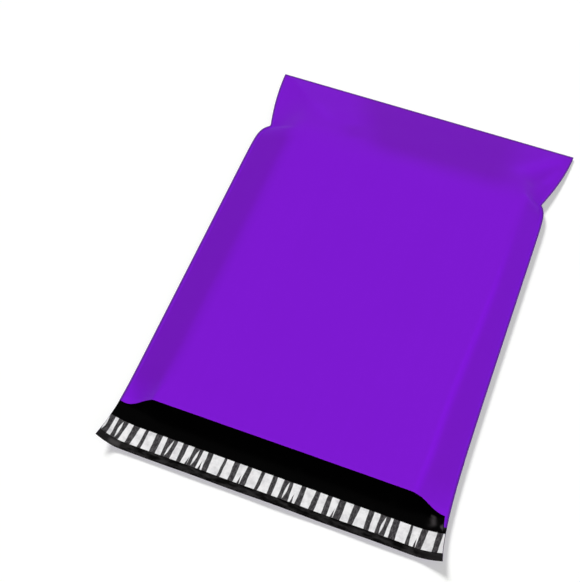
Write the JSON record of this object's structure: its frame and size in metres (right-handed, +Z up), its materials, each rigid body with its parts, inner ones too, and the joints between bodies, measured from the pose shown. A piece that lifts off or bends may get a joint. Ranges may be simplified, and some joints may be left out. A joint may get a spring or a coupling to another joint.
{
  "type": "poly mailer bag",
  "caption": "Open coloured film mailing bag holding a flat filling's shape, with welded sides, a black inside and a sealing lip whose glue is under a peel off liner.",
  "frame": {"origin": "middle of the table face under the bag's bounding box", "axes": "+Z up from the table, +Y along the bag from the sealing lip to the far fold, +X across it"},
  "size_m": [0.3682, 0.5358, 0.0275],
  "materials": {
    "film": "satin coextruded film, coloured outside and black inside",
    "adhesive": "tacky hot melt glue",
    "liner": "printed release film"
  },
  "bodies": {
    "root": {"mailer_bag": "film", "adhesive_strip": "adhesive", "release_liner": "liner"}
  },
  "joints": []
}
